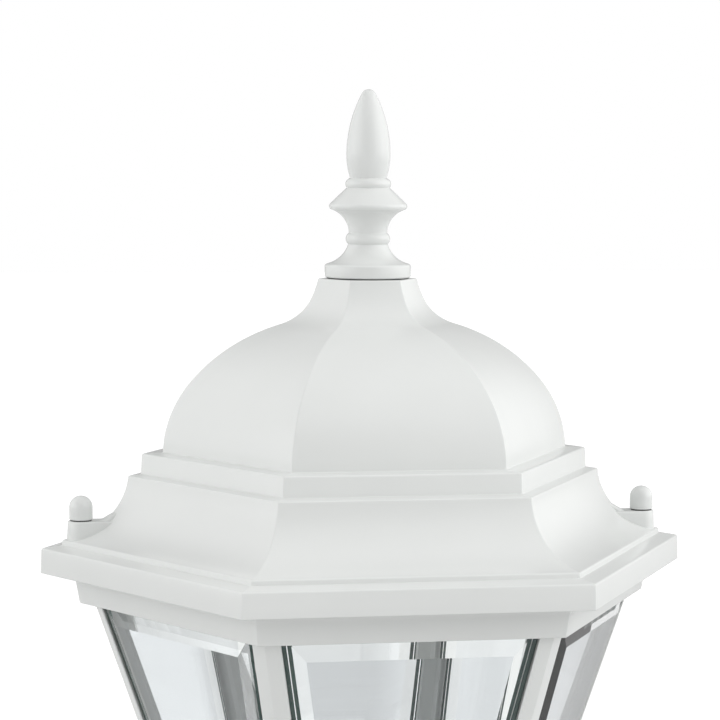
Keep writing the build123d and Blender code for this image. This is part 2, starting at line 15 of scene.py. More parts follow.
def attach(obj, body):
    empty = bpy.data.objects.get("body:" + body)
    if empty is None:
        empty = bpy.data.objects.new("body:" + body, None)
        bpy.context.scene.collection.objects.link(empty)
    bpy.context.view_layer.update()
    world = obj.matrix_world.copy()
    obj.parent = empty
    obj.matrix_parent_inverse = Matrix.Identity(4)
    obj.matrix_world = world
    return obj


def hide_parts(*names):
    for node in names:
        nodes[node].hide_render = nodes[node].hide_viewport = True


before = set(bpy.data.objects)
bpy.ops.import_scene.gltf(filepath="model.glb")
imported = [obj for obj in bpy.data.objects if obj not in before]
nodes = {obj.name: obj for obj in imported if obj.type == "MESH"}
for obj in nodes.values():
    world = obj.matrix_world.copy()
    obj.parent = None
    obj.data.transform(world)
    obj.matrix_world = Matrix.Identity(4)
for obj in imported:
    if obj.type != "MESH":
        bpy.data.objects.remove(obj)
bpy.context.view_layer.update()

MM = 0.001

# %% [markdown]
# ## The camera
# The picture was taken from a little above the ring, about a metre away, with one corner
# turned to the left. A long lens from that place gives the same foreshortening. The view
# is set before anything is made, so that each new piece can be judged in it.

# %% Camera
CAMERA_DISTANCE = 1.064
CAMERA_HEIGHT = 0.2926 + 0.1637
CAMERA_TURN = math.radians(10.19)
CAMERA_TILT = math.radians(4.5)
CAMERA_ROLL = math.radians(0.33)
LENS_PIXELS = 2607.0
CENTRE_PIXEL = (367.3, 347.8)
PICTURE, SENSOR = 720, 36.0

camera_data = bpy.data.cameras.new("camera")
camera = bpy.data.objects.new("camera", camera_data)
bpy.context.scene.collection.objects.link(camera)
bpy.context.scene.camera = camera
camera_data.sensor_width = SENSOR
camera_data.lens = LENS_PIXELS / PICTURE * SENSOR
camera_data.shift_x = (PICTURE / 2 - CENTRE_PIXEL[0]) / PICTURE
camera_data.shift_y = (CENTRE_PIXEL[1] - PICTURE / 2) / PICTURE
camera_data.clip_start, camera_data.clip_end = 0.05, 60.0
camera.matrix_world = (
    Matrix.Rotation(-CAMERA_TURN, 4, "Z")
    @ Matrix.Translation((0, -CAMERA_DISTANCE, CAMERA_HEIGHT))
    @ Matrix.Rotation(math.pi / 2 - CAMERA_TILT, 4, "X")
    @ Matrix.Rotation(CAMERA_ROLL, 4, "Z")
)
print("camera at", [round(v, 3) for v in camera.matrix_world.translation])

# %% [markdown]
# ## Outlines
# Cast and turned pieces are outlines carried round an axis. An outline is a list of points,
# with arcs where the real profile is curved and a small radius at each corner, because no
# casting has a perfectly sharp edge. A bevel modifier could round the corners too, but
# working them out keeps the mesh regular.

# %% Outline helpers
def toward(degrees):
    """Step of length one, (cos, sin), in one direction or in each of several."""
    angle = np.radians(degrees)
    return np.stack([np.cos(angle), np.sin(angle)], axis=-1)


def turning_arc(start, heading, radius, turn, steps):
    """Arc that leaves start along heading and turns left by turn degrees (right if negative).

    centre = start + radius * a step to the side it turns to
    point(t) = centre + radius * (cos, sin) of (heading - side * 90 + t * turn)
    """
    side = math.copysign(1, turn)
    centre = np.array(start) + radius * toward(heading + side * 90)
    return centre + radius * toward(heading - side * 90 + turn * np.linspace(0, 1, steps + 1))


def arc_chain(start, heading, arcs, steps=14):
    """Arcs of (radius, turn), each leaving along the end of the one before."""
    parts = []
    for radius, turn in arcs:
        arc = turning_arc(start, heading, radius, turn, steps)
        parts.append(arc[1:])
        start, heading = arc[-1], heading + turn
    return np.concatenate(parts)


def arc_through(first, middle, last, steps):
    """Arc from first to last that passes middle.

    The centre is where the perpendicular bisectors of the two chords meet, and the angle
    grows evenly from first to last.
    """
    a, b, c = (np.array(p, float) for p in (first, middle, last))
    sides = 2 * np.array([b - a, c - b])
    centre = np.linalg.solve(sides, [b @ b - a @ a, c @ c - b @ b])
    start, end = (math.atan2(*(p - centre)[::-1]) for p in (a, c))
    turn_left = np.cross(b - a, c - b) > 0
    sweep = (end - start) % (2 * math.pi) if turn_left else -((start - end) % (2 * math.pi))
    around = start + sweep * np.linspace(0, 1, steps + 1)
    return centre + np.linalg.norm(a - centre) * toward(np.degrees(around))


def soften(corners, steps=4, closed=True):
    """Round the corners of an outline. Each corner is (x, y, radius).

    The arc touches both sides at radius / tan(half angle) from the corner. Its points are
    a blend of the two end spokes, sin((1 - t) w) a + sin(t w) b over sin(w).
    """
    corners = np.array(corners, float)
    point, radius = corners[:, :2], corners[:, 2:]
    before = np.roll(point, 1, axis=0) - point
    after = np.roll(point, -1, axis=0) - point
    before /= np.maximum(np.linalg.norm(before, axis=1, keepdims=True), 1e-9)
    after /= np.maximum(np.linalg.norm(after, axis=1, keepdims=True), 1e-9)
    cosine = np.clip(np.sum(before * after, axis=1, keepdims=True), -0.9999, 0.9999)
    half = np.arccos(cosine) / 2
    if not closed:
        radius[[0, -1]] = 0
    middle = before + after
    middle /= np.maximum(np.linalg.norm(middle, axis=1, keepdims=True), 1e-9)
    centre = point + middle * radius / np.sin(half)
    spoke_in = point + before * radius / np.tan(half) - centre
    spoke_out = point + after * radius / np.tan(half) - centre
    sweep = (math.pi - 2 * half)[:, None]
    t = np.linspace(0, 1, steps + 1)[None, :, None]
    blend = np.sin((1 - t) * sweep) * spoke_in[:, None] + np.sin(t * sweep) * spoke_out[:, None]
    rounded = centre[:, None] + blend / np.sin(sweep)
    rounded = np.where(radius[:, None] > 0, rounded, point[:, None])
    flat = rounded.reshape(-1, 2)
    keep = np.linalg.norm(flat - np.roll(flat, 1, axis=0), axis=1) > 1e-5
    keep[0] = True
    return flat[keep]


def bare(points):
    """Points of a curve as corners with no radius."""
    points = np.asarray(points, float)
    return np.column_stack([points, np.zeros(len(points))])


# %% [markdown]
# ## From outlines to meshes
# Every surface here is a grid: one way along the outline and the other way round the axis.
# A round piece turns the outline. A six-sided piece pushes it out to the flats of a hexagon
# whose corners are slightly rounded, as a sand casting's are.

# %% Grid helpers
COS30, TAN30 = math.cos(math.pi / 6), math.tan(math.pi / 6)


def grid_quads(rows, columns, wrap_rows=False):
    """Quads between neighbouring points of a grid whose columns go all the way round."""
    row = np.arange(rows if wrap_rows else rows - 1)
    r, c = np.meshgrid(row, np.arange(columns), indexing="ij")
    up, on = (r + 1) % rows, (c + 1) % columns
    corners = [r * columns + c, r * columns + on, up * columns + on, up * columns + c]
    return np.stack(corners, axis=-1).reshape(-1, 4)


def capped(rows, columns, low=True, high=True):
    """Faces of a tube of loops, with a flat face over its first and its last loop."""
    first = list(range(columns))
    last = [(rows - 1) * columns + i for i in first]
    ends = ([first[::-1]] if low else []) + ([last] if high else [])
    return grid_quads(rows, columns).tolist() + ends


def about_axis(radius, angle, height):
    """Points (radius cos angle, radius sin angle, height) of a grid, row by row."""
    x, y = radius * np.cos(angle), radius * np.sin(angle)
    return np.stack([x, y, height + 0 * x], axis=-1).reshape(-1, 3)


def turned(outline, steps=96, closed=True):
    """Points and faces of an outline of (radius, height) turned about the axis.

    point(i, j) = (radius_i cos a_j, radius_i sin a_j, height_i)
    """
    outline = np.asarray(outline, float)
    around = np.linspace(0, 2 * math.pi, steps, endpoint=False)
    points = about_axis(outline[:, :1], around, outline[:, 1:])
    return points, grid_quads(len(outline), steps, wrap_rows=closed)


def six_sided(outline, corner=0.9, steps=4):
    """Points and faces of an outline of (flat distance, height) carried round a hexagon.

    Near each corner k the point is centre_k + r (cos, sin), where the centre lies on the
    corner's ray at (flat - r) / cos 30 and the angle runs from 60 k - 30 to 60 k + 30.
    """
    outline = np.asarray(outline, float)
    flat, height = outline[:, :1, None], outline[:, 1:, None]
    radius = np.minimum(corner, 0.45 * np.abs(flat))
    ray = np.radians(60 * np.arange(6))[None, :, None]
    angle = ray + np.radians(np.linspace(-30, 30, steps + 1))[None, None, :]
    reach = (flat - radius) / COS30
    x = reach * np.cos(ray) + radius * np.cos(angle)
    y = reach * np.sin(ray) + radius * np.sin(angle)
    points = np.stack([x, y, height + 0 * x], axis=-1)
    columns = 6 * (steps + 1)
    return points.reshape(-1, 3), grid_quads(len(outline), columns, wrap_rows=True)


def prism(lower, upper):
    """Points and faces of a solid between two loops of equal length, closed at both ends."""
    return np.concatenate([lower, upper]), capped(2, len(lower))


def moved(shape, rotation=None, shift=(0, 0, 0)):
    """A shape turned by a matrix and then shifted."""
    points, faces = shape
    if rotation is not None:
        points = points @ np.array(rotation).T
    return points + np.array(shift), faces


def about_z(degrees):
    """Matrix for a turn about the lantern's axis."""
    c, s = math.cos(math.radians(degrees)), math.sin(math.radians(degrees))
    return np.array([[c, -s, 0], [s, c, 0], [0, 0, 1.0]])


def lying(degrees):
    """Matrix that lays an upright shape down, its top pointing out at an angle."""
    return about_z(degrees) @ np.array([[0, 0, 1.0], [0, 1, 0], [-1, 0, 0]])


def face_lists(faces):
    """Faces as plain lists of corner numbers, whether they come as lists or as an array."""
    return faces.tolist() if isinstance(faces, np.ndarray) else faces


def joined(shapes):
    """Several shapes as one list of points and faces."""
    points, faces, start = [], [], 0
    for shape_points, shape_faces in shapes:
        points.append(shape_points)
        faces += [[start + i for i in face] for face in face_lists(shape_faces)]
        start += len(shape_points)
    return np.concatenate(points), faces


# %% [markdown]
# Points and faces become a mesh object in one call. A hole is cut with an exact boolean on
# two objects that are removed again, so that no live modifier is left on the piece.

# %% Mesh objects
def mesh_object(name, points, faces):
    """An object in the scene whose mesh has these points and faces."""
    mesh = bpy.data.meshes.new(name)
    mesh.from_pydata(points.tolist(), [], face_lists(faces))
    obj = bpy.data.objects.new(name, mesh)
    bpy.context.scene.collection.objects.link(obj)
    return obj


def drilled(shape, bits):
    """A closed shape with the volume of each bit cut away by an exact boolean."""
    body, bit = mesh_object("cutting", *shape), mesh_object("cutting", *joined(bits))
    cut = body.modifiers.new("cut", "BOOLEAN")
    cut.operation, cut.solver, cut.object = "DIFFERENCE", "EXACT", bit
    bpy.context.view_layer.update()
    result = body.evaluated_get(bpy.context.evaluated_depsgraph_get())
    made = bpy.data.meshes.new_from_object(result)
    points = np.empty(3 * len(made.vertices))
    made.vertices.foreach_get("co", points)
    faces = [list(polygon.vertices) for polygon in made.polygons]
    for mesh in (made, body.data, bit.data):
        bpy.data.meshes.remove(mesh)
    return points.reshape(-1, 3), faces


def piece(name, shape, material, body, node, crease=32):
    """A finished object from a shape in millimetres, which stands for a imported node.

    It is smooth, with creases where two faces meet at more than the given angle.
    """
    points, faces = shape
    obj = mesh_object(name, points * MM, faces)
    mesh = obj.data
    mesh.validate()
    mesh.polygons.foreach_set("use_smooth", np.ones(len(mesh.polygons), bool))
    mesh.set_sharp_from_angle(angle=math.radians(crease))
    mesh.materials.append(material)
    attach(obj, body)
    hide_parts(node)
    print(f"{name}: {len(mesh.polygons)} faces, rides on {body}")
    return obj


# %% [markdown]
# ## Shared effects
# Two small node groups serve several finishes. One gives the slight unevenness of a coated
# or plated surface as a height, and the other a slow drift between two colours. They put
# out only a value and a colour, and each material keeps its own shader.

# %% Node groups
def new_group(name, inputs, outputs):
    """An empty shader group with named sockets: (name, type, default)."""
    group = bpy.data.node_groups.new(name, "ShaderNodeTree")
    for label, kind, default in inputs:
        socket = group.interface.new_socket(name=label, in_out="INPUT", socket_type=kind)
        socket.default_value = default
    for label, kind in outputs:
        group.interface.new_socket(name=label, in_out="OUTPUT", socket_type=kind)
    return group, group.nodes.new("NodeGroupInput"), group.nodes.new("NodeGroupOutput")


def surface_grain():
    """Height of a surface: coarse waves plus fine grain, both noise on Object coordinates."""
    group, given, result = new_group(
        "surface_grain",
        [
            ("Vector", "NodeSocketVector", (0, 0, 0)),
            ("Fine Scale", "NodeSocketFloat", 900.0),
            ("Wave Scale", "NodeSocketFloat", 60.0),
            ("Wave Share", "NodeSocketFloat", 0.5),
        ],
        [("Height", "NodeSocketFloat")],
    )
    fine = group.nodes.new("ShaderNodeTexNoise")
    waves = group.nodes.new("ShaderNodeTexNoise")
    fine.inputs["Detail"].default_value = 3
    waves.inputs["Detail"].default_value = 2
    mix = group.nodes.new("ShaderNodeMix")
    mix.data_type = "FLOAT"
    link = group.links.new
    link(given.outputs["Vector"], fine.inputs["Vector"])
    link(given.outputs["Vector"], waves.inputs["Vector"])
    link(given.outputs["Fine Scale"], fine.inputs["Scale"])
    link(given.outputs["Wave Scale"], waves.inputs["Scale"])
    link(given.outputs["Wave Share"], mix.inputs["Factor"])
    link(fine.outputs["Fac"], mix.inputs["A"])
    link(waves.outputs["Fac"], mix.inputs["B"])
    link(mix.outputs["Result"], result.inputs["Height"])
    return group


def colour_drift():
    """A colour that wanders between two given colours over some centimetres."""
    group, given, result = new_group(
        "colour_drift",
        [
            ("Vector", "NodeSocketVector", (0, 0, 0)),
            ("Scale", "NodeSocketFloat", 12.0),
            ("Colour A", "NodeSocketColor", (1, 1, 1, 1)),
            ("Colour B", "NodeSocketColor", (0.9, 0.9, 0.9, 1)),
        ],
        [("Color", "NodeSocketColor"), ("Mask", "NodeSocketFloat")],
    )
    noise = group.nodes.new("ShaderNodeTexNoise")
    noise.inputs["Detail"].default_value = 4
    ramp = group.nodes.new("ShaderNodeMapRange")
    ramp.inputs["From Min"].default_value = 0.35
    ramp.inputs["From Max"].default_value = 0.65
    mix = group.nodes.new("ShaderNodeMix")
    mix.data_type = "RGBA"
    link = group.links.new
    link(given.outputs["Vector"], noise.inputs["Vector"])
    link(given.outputs["Scale"], noise.inputs["Scale"])
    link(noise.outputs["Fac"], ramp.inputs["Value"])
    link(ramp.outputs["Result"], mix.inputs["Factor"])
    link(given.outputs["Colour A"], mix.inputs["A"])
    link(given.outputs["Colour B"], mix.inputs["B"])
    link(mix.outputs["Result"], result.inputs["Color"])
    link(ramp.outputs["Result"], result.inputs["Mask"])
    return group


GRAIN = surface_grain()
DRIFT = colour_drift()


def finish_material(name, colours, roughness, grain, metallic=0.0, drift_scale=12.0, **plain):
    """A material with a drifting colour, a roughness range and a bump.

    grain is (fine scale, wave scale, wave share, bump distance in metres).
    """
    material = bpy.data.materials.new(name)
    material.use_nodes = True
    tree = material.node_tree
    shader = tree.nodes["Principled BSDF"]
    place = tree.nodes.new("ShaderNodeTexCoord")
    drift = tree.nodes.new("ShaderNodeGroup")
    drift.node_tree = DRIFT
    drift.inputs["Scale"].default_value = drift_scale
    drift.inputs["Colour A"].default_value = (*colours[0], 1)
    drift.inputs["Colour B"].default_value = (*colours[1], 1)
    height = tree.nodes.new("ShaderNodeGroup")
    height.node_tree = GRAIN
    height.inputs["Fine Scale"].default_value = grain[0]
    height.inputs["Wave Scale"].default_value = grain[1]
    height.inputs["Wave Share"].default_value = grain[2]
    bump = tree.nodes.new("ShaderNodeBump")
    bump.inputs["Strength"].default_value = 1.0
    bump.inputs["Distance"].default_value = grain[3]
    rough = tree.nodes.new("ShaderNodeMapRange")
    rough.inputs["To Min"].default_value = roughness[0]
    rough.inputs["To Max"].default_value = roughness[1]
    link = tree.links.new
    link(place.outputs["Object"], drift.inputs["Vector"])
    link(place.outputs["Object"], height.inputs["Vector"])
    link(drift.outputs["Color"], shader.inputs["Base Color"])
    link(height.outputs["Height"], bump.inputs["Height"])
    link(bump.outputs["Normal"], shader.inputs["Normal"])
    link(drift.outputs["Mask"], rough.inputs["Value"])
    link(rough.outputs["Result"], shader.inputs["Roughness"])
    shader.inputs["Metallic"].default_value = metallic
    for label, value in plain.items():
        shader.inputs[label.replace("_", " ")].default_value = value
    return material


# %% [markdown]
# ## Finishes
# The casting has a smooth white coat, very slightly cool, with a very fine orange peel.
# Fittings are zinc-plated steel, the lampholder is glazed porcelain with a brass shell, and
# the washers are rubber. Each finish is one call with its colours, roughness and grain.

# %% Finishes
white_coat = finish_material(
    "white_coat",
    [(0.782, 0.797, 0.783), (0.757, 0.772, 0.759)],
    (0.14, 0.20),
    (1500.0, 90.0, 0.6, 0.00003),
    IOR=1.5,
)
dark_rubber = finish_material(
    "dark_rubber",
    [(0.05, 0.05, 0.05), (0.08, 0.08, 0.078)],
    (0.60, 0.75),
    (2500.0, 300.0, 0.3, 0.00004),
)
zinc_steel = finish_material(
    "zinc_steel",
    [(0.60, 0.61, 0.63), (0.52, 0.53, 0.55)],
    (0.26, 0.38),
    (3000.0, 400.0, 0.4, 0.00002),
    metallic=1.0,
    drift_scale=90.0,
)
glazed_porcelain = finish_material(
    "glazed_porcelain",
    [(0.80, 0.79, 0.75), (0.77, 0.75, 0.70)],
    (0.10, 0.18),
    (600.0, 60.0, 0.8, 0.00006),
    IOR=1.5,
)
brass = finish_material(
    "brass",
    [(0.80, 0.60, 0.28), (0.68, 0.47, 0.20)],
    (0.20, 0.34),
    (2600.0, 200.0, 0.4, 0.00002),
    metallic=1.0,
    drift_scale=120.0,
)
green_screw = finish_material(
    "green_screw",
    [(0.03, 0.26, 0.07), (0.02, 0.20, 0.05)],
    (0.30, 0.45),
    (2600.0, 300.0, 0.4, 0.00002),
    metallic=0.6,
    drift_scale=150.0,
)

# %% [markdown]
# ## Glass
# Plate glass is clear across its thickness and green along its length, because a little
# iron in it takes out red and blue. The panes get real depth, a real index and bright
# polished bevels. Two more finishes are painted shade: a grey-blue tint on the outer flat
# face, which makes the bevels show paler, and a dull dark green on the ground strips and
# edges, which stands for the dark bands that refraction gives along the posts.

# %% Glass materials
def glass_material(name, colour):
    """Plain clear glass with a tint that light takes on as it passes a face."""
    material = bpy.data.materials.new(name)
    material.use_nodes = True
    shader = material.node_tree.nodes["Principled BSDF"]
    shader.inputs["Base Color"].default_value = (*colour, 1)
    shader.inputs["Roughness"].default_value = 0.0
    shader.inputs["IOR"].default_value = 1.52
    shader.inputs["Transmission Weight"].default_value = 1.0
    return material


clear_glass = glass_material("clear_glass", (0.985, 1.0, 0.995))
# painted shade: the outer flat face is this glass tinted grey-blue, darker than the bevels
shaded_face_glass = glass_material("shaded_face_glass", (0.768, 0.792, 0.812))
# painted shade: opaque dull dark green for the ground strips and edges of each pane
painted_shade_edge = finish_material(
    "painted_shade_edge",
    [(0.062, 0.125, 0.108), (0.040, 0.088, 0.076)],
    (0.25, 0.45),
    (1800.0, 300.0, 0.3, 0.00005),
)

# %% [markdown]
# ## Roof casting
# The roof is one casting: an ogee dome, a stepped tier, a hollow cove and a flat rim. Its
# outline is followed once outside and once inside and then carried round the hexagon.
# Heights are counted from the rim's upper edge.

# %% Roof outline
RIM_TOP = 292.6
WALL = 3.2
DOME_FOOT, DOME_HEADING = np.array([72.75, 38.2]), 91.4
DOME_ARCS = [(50.3, 34.5), (64.8, 35.4), (18.6, -49.6), (47.1, -10.0)]
COVE_START, COVE_HEADING, COVE_RADIUS = np.array([84.9, 28.8]), -86.0, 28.0

dome = arc_chain(DOME_FOOT, DOME_HEADING, DOME_ARCS)
inner_foot = DOME_FOOT + WALL * toward(DOME_HEADING + 90)
inner_arcs = [(radius - math.copysign(WALL, turn), turn) for radius, turn in DOME_ARCS]
inner_arcs[-1] = (inner_arcs[-1][0], -7.0)
inner_dome = arc_chain(inner_foot, DOME_HEADING, inner_arcs)
cove = turning_arc(COVE_START, COVE_HEADING, COVE_RADIUS, 76.0, 28)
cove_centre = COVE_START + COVE_RADIUS * toward(COVE_HEADING + 90)
inner_cove = cove_centre + (COVE_RADIUS + WALL) * toward(np.linspace(192.0, 250.5, 20))
roof_outline = soften(
    np.concatenate(
        [
            [(112.4, -10.1, 0.3), (115.5, -10.1, 0.5), (115.2, 0, 0.9), (108.1, 1.15, 0.25)],
            [(*cove[-1], 0.8)],
            bare(cove[-2:0:-1]),
            [(*cove[0], 0.6), (80.45, 29.6, 0.5), (80.1, 37.8, 0.9), (*DOME_FOOT, 0.5)],
            bare(dome[:-1]),
            [(*dome[-1], 0.5), (3.5, dome[-1][1], 0)],
            [(3.5, inner_dome[-1][1], 0), (*inner_dome[-1], 0)],
            bare(inner_dome[-2::-1]),
            [(*inner_foot, 0.5), (inner_foot[0], 34.6, 0.5), (76.9, 34.6, 1.0)],
            [(77.25, inner_cove[0][1], 1.0)],
            bare(inner_cove),
            [(inner_cove[-1][0], -2.6, 0.4), (112.4, -2.6, 0.6)],
        ]
    )
)
roof_outline = roof_outline + (0, RIM_TOP)
print("roof outline", len(roof_outline), "points, top at", round(roof_outline[:, 1].max(), 1))

# %% [markdown]
# Each boss is a short post with a round outer side that runs back into the cove. It is
# lofted: the same slot shape at each height, widened towards the foot where it blends in.

# %% Roof bosses
BOSS_REACH = 117.0


def boss_web():
    """Hollow fillet from the boss's top up into the cove, narrower towards its upper end.

    (x, z) runs along an arc of radius 6 about (111, 17) and then straight into the cove. Each
    point carries a rounded top: y = w sin(a), and z falls by w (1 - cos(a)) / 2.
    """
    spine = np.array([111.0, 17.0]) + 6.0 * toward(np.linspace(-90, -120, 7))
    spine = np.concatenate([spine, np.linspace(spine[-1], (102.6, 14.9), 5)[1:]])
    across = np.radians(np.linspace(-90, 90, 13))[None]
    half = np.linspace(5.0, 3.0, len(spine))[:, None]
    x = spine[:, :1] + 0 * across
    y = half * np.sin(across)
    top = np.stack([x, y, spine[:, 1:] - half * (1 - np.cos(across)) / 2], axis=-1)
    low = np.stack([x, y, np.full_like(x, 6.0)], axis=-1)
    loops = np.concatenate([top, low[:, ::-1]], axis=1)
    return loops.reshape(-1, 3) + (0, 0, RIM_TOP), capped(*loops.shape[:2])


def boss(angle):
    """Slot-shaped boss: a half circle at BOSS_REACH and straight sides back to 103.

    half width(z) = 5.2 + taper (11 - z), plus a quarter-round flare over the lowest 2.2.
    """
    height = np.array([0.3, 0.7, 1.2, 1.8, 2.5, 5.0, 8.0, 10.4, 10.7, 10.9, 11.0, 11.0])
    shrink = np.array([0, 0, 0, 0, 0, 0, 0, 0, 0.1, 0.3, 0.6, 2.0])
    low = np.clip((2.5 - height) / 2.2, 0, 1)
    half = 5.2 + 0.06 * (11 - height) + 2.0 * (1 - np.sqrt(1 - low**2)) - shrink
    around = np.radians(np.linspace(-90, 90, 25))
    x = np.concatenate([np.cos(around), [0, 0]])[None] * half[:, None] + BOSS_REACH
    y = np.concatenate([np.sin(around), [1, -1]])[None] * half[:, None]
    x[:, -2:] = 103.0
    z = height[:, None] + 0 * x + RIM_TOP
    post = np.stack([x, y, z], axis=-1).reshape(-1, 3), capped(*x.shape, low=False)
    under = turned(soften([(2.7, -2.6, 0), (6.0, -2.6, 0.3), (6.0, 3.0, 0), (2.7, 3.0, 0)]), 48)
    under = moved(under, shift=(BOSS_REACH, 0, RIM_TOP))
    return moved(joined([post, boss_web(), under]), about_z(angle))


piece(
    "roof_shell",
    joined([six_sided(roof_outline), boss(0), boss(180)]),
    white_coat,
    "roof",
    "roof_casting",
)

# %% [markdown]
# ## Finial
# The finial is turned: a disc, a flare, a bead, a neck that opens into a saucer and a long
# bullet. Its outline is a chain of arcs from the tip down.

# %% Finial
GASKET = 0.5
FINIAL_SEAT = RIM_TOP + dome[-1][1] + GASKET
FINIAL_HEIGHT = 76.4
BULLET_ARCS = [(3.2, -62.0), (52.3, -28.0), (34.1, -16.6)]
bullet = arc_chain((0.0, FINIAL_HEIGHT), 0.0, BULLET_ARCS, 16)
finial_outline = np.concatenate(
    [
        bare([(0, FINIAL_HEIGHT)]),
        bare(bullet[:-1]),
        [(*bullet[-1], 0), (8.2, 40.0, 0.25)],
        bare(arc_through((8.2, 40.0), (9.35, 37.8), (8.8, 36.4), 12)[1:-1]),
        [(8.8, 36.4, 0.2), (9.3, 36.0, 0.3), (15.6, 29.9, 0.5)],
        bare(arc_through((15.6, 29.9), (15.9, 28.5), (14.6, 27.4), 10)[1:-1]),
        [(14.6, 27.4, 0.2)],
        bare(arc_through((14.6, 27.4), (9.4, 23.2), (7.85, 18.0), 16)[1:-1]),
        [(7.85, 18.0, 0.25)],
        bare(arc_through((7.85, 18.0), (9.1, 15.8), (8.1, 13.5), 12)[1:-1]),
        [(8.1, 13.5, 0.25)],
        bare(arc_through((8.1, 13.5), (10.6, 9.1), (15.4, 5.9), 16)[1:-1]),
        [(15.4, 5.9, 0.4), (17.0, 5.4, 0.5), (17.6, 4.8, 0.4), (17.6, 0.5, 0.2), (17.1, 0, 0)],
        [(3.3, 0, 0), (3.3, 12, 0), (0, 12, 0)],
    ]
)
finial_line = soften(finial_outline, closed=False)
finial_line[:, 0] = np.maximum(finial_line[:, 0], 0.001)
piece(
    "finial_turning",
    moved(turned(finial_line[::-1], 96, closed=False), shift=(0, 0, FINIAL_SEAT)),
    white_coat,
    "roof",
    "finial",
)

# %% [markdown]
# ## Cap nuts and studs
# Two bullet-shaped cap nuts hold the roof. Each turns on a stud that stands up from the
# ring. The nuts are plain turnings; the studs have a real helical thread, which shows when
# the roof is lifted.

# %% Cap nuts
WASHER_TOP = 11.5


def cap_nut(side):
    """Bullet: straight for half its height, then a dome, with a small chamfer at the foot."""
    top = turning_arc((0.001, 9.6), 0.0, 4.7, -90, 14)
    foot = [(4.7, 0.3, 0.1), (4.45, 0, 0)]
    bore = [(2.12, 0, 0), (2.12, 8.6, 0), (0.001, 8.6, 0)]
    line = soften(np.concatenate([bare(top), foot, bore]), closed=False)
    nut = turned(line[::-1], 48, closed=False)
    return moved(nut, shift=(BOSS_REACH * side, 0, RIM_TOP + WASHER_TOP))


def threaded_rod(radius, pitch, low, high, depth, steps=28, per_turn=6):
    """Rod with a helical thread on its whole length and a plain tip at each end.

    radius(a, z) = radius - depth * |2 frac(z / pitch - a / 360) - 1|, faded out at the ends.
    """
    rows = int((high - low) / pitch * per_turn) + 1
    z = np.linspace(low, high, rows)[:, None]
    around = np.linspace(0, 2 * math.pi, steps, endpoint=False)[None]
    wave = np.abs(2 * np.mod(z / pitch - around / (2 * math.pi), 1) - 1)
    fade = np.clip(np.minimum(z - low, high - z) / pitch, 0, 1)
    r = radius - depth * (wave * fade + (1 - fade))
    return about_axis(r, around, z), capped(rows, steps)


STUD_FOOT, STUD_TIP = RIM_TOP - 10.7, RIM_TOP + 18.9
for side, word in ((-1, "left"), (1, "right")):
    nut = f"cap_nut_{word}"
    piece(f"bullet_nut_{word}", cap_nut(side), white_coat, nut, nut)
    rod = threaded_rod(2.08, 0.79375, STUD_FOOT, STUD_TIP, 0.28)
    piece(
        f"threaded_stud_{word}",
        moved(rod, shift=(BOSS_REACH * side, 0, 0)),
        zinc_steel,
        "cage",
        f"roof_stud_{word}",
        crease=60,
    )

# %% [markdown]
# ## Gallery ring
# The ring ties the six posts together at the top. What shows is a frieze that leans out a
# little and a small cove that carries it to the rim. Inside are a flange for the screws and
# an upstand that the roof fits over.

# %% Gallery ring
RING_BOTTOM = 270.0
FLANGE = 6.1
ring_cove = arc_through((103.1, 7.6), (103.72, 9.65), (105.2, 11.2), 10)
ring_outline = soften(
    np.concatenate(
        [
            [(100.4, 0, 0.3), (101.85, 0, 0.4)],
            bare(ring_cove),
            [(107.6, 12.6, 0.5), (107.6, 20.0, 0.4), (104.6, 20.0, 0.4), (104.6, 14.2, 0.5)],
            [(101.5, 12.2, 0.5), (101.5, 9.6, 0.5), (84.9, 9.6, 0.5)],
            [(84.9, FLANGE, 0.5), (100.4, FLANGE, 0.5)],
        ]
    )
)
ring_shapes = [six_sided(ring_outline + (0, RING_BOTTOM))]
stud_boss = turned(soften([(2.1, 12.2, 0), (5.0, 12.2, 0), (5.0, 19.5, 0.5), (2.1, 19.5, 0.2)]), 40)
ring_shapes += [moved(stud_boss, shift=(s * BOSS_REACH, 0, RING_BOTTOM)) for s in (-1, 1)]
piece("ring_moulding", joined(ring_shapes), white_coat, "cage", "gallery_ring")

# %% [markdown]
# ## Corner posts
# Six slim posts lean in towards the foot. Each has a crested front that covers the edges of
# two panes and a narrower core behind them. One outline, drawn flat, slides down the lean.

# %% Corner posts
LEAN = 0.354
FLOOR_TOP = 105.0
POST_REACH = 111.5
POST_HALF, LIP, CORE_HALF = 5.8, 2.7, 4.4
post_section = soften(
    [
        (0, 0, 1.2),
        (-1.6, POST_HALF, 0.45),
        (-LIP, POST_HALF, 0.3),
        (-1.9, CORE_HALF, 0.2),
        (-10.5, CORE_HALF, 0.5),
        (-12.0, 2.9, 0.5),
        (-12.0, -2.9, 0.5),
        (-10.5, -CORE_HALF, 0.5),
        (-1.9, -CORE_HALF, 0.2),
        (-LIP, -POST_HALF, 0.3),
        (-1.6, -POST_HALF, 0.45),
    ]
)


def post_radius(height):
    """Radius of a post's outer edge at a height: a straight line."""
    return POST_REACH + LEAN * (height - RING_BOTTOM)


def corner_post():
    """The +X post: the section at the floor and at the ring's flange, joined straight."""
    ends = []
    for height in (FLOOR_TOP, RING_BOTTOM + FLANGE):
        loop = post_section + (post_radius(height), 0)
        ends.append(np.column_stack([loop, np.full(len(loop), height)]))
    return prism(*ends)


CORNERS = ("right", "back_right", "back_left", "left", "front_left", "front_right")
for i, corner in enumerate(CORNERS):
    piece(
        f"leaning_post_{corner}",
        moved(corner_post(), about_z(60 * i)),
        white_coat,
        "cage",
        f"corner_post_{corner}",
    )

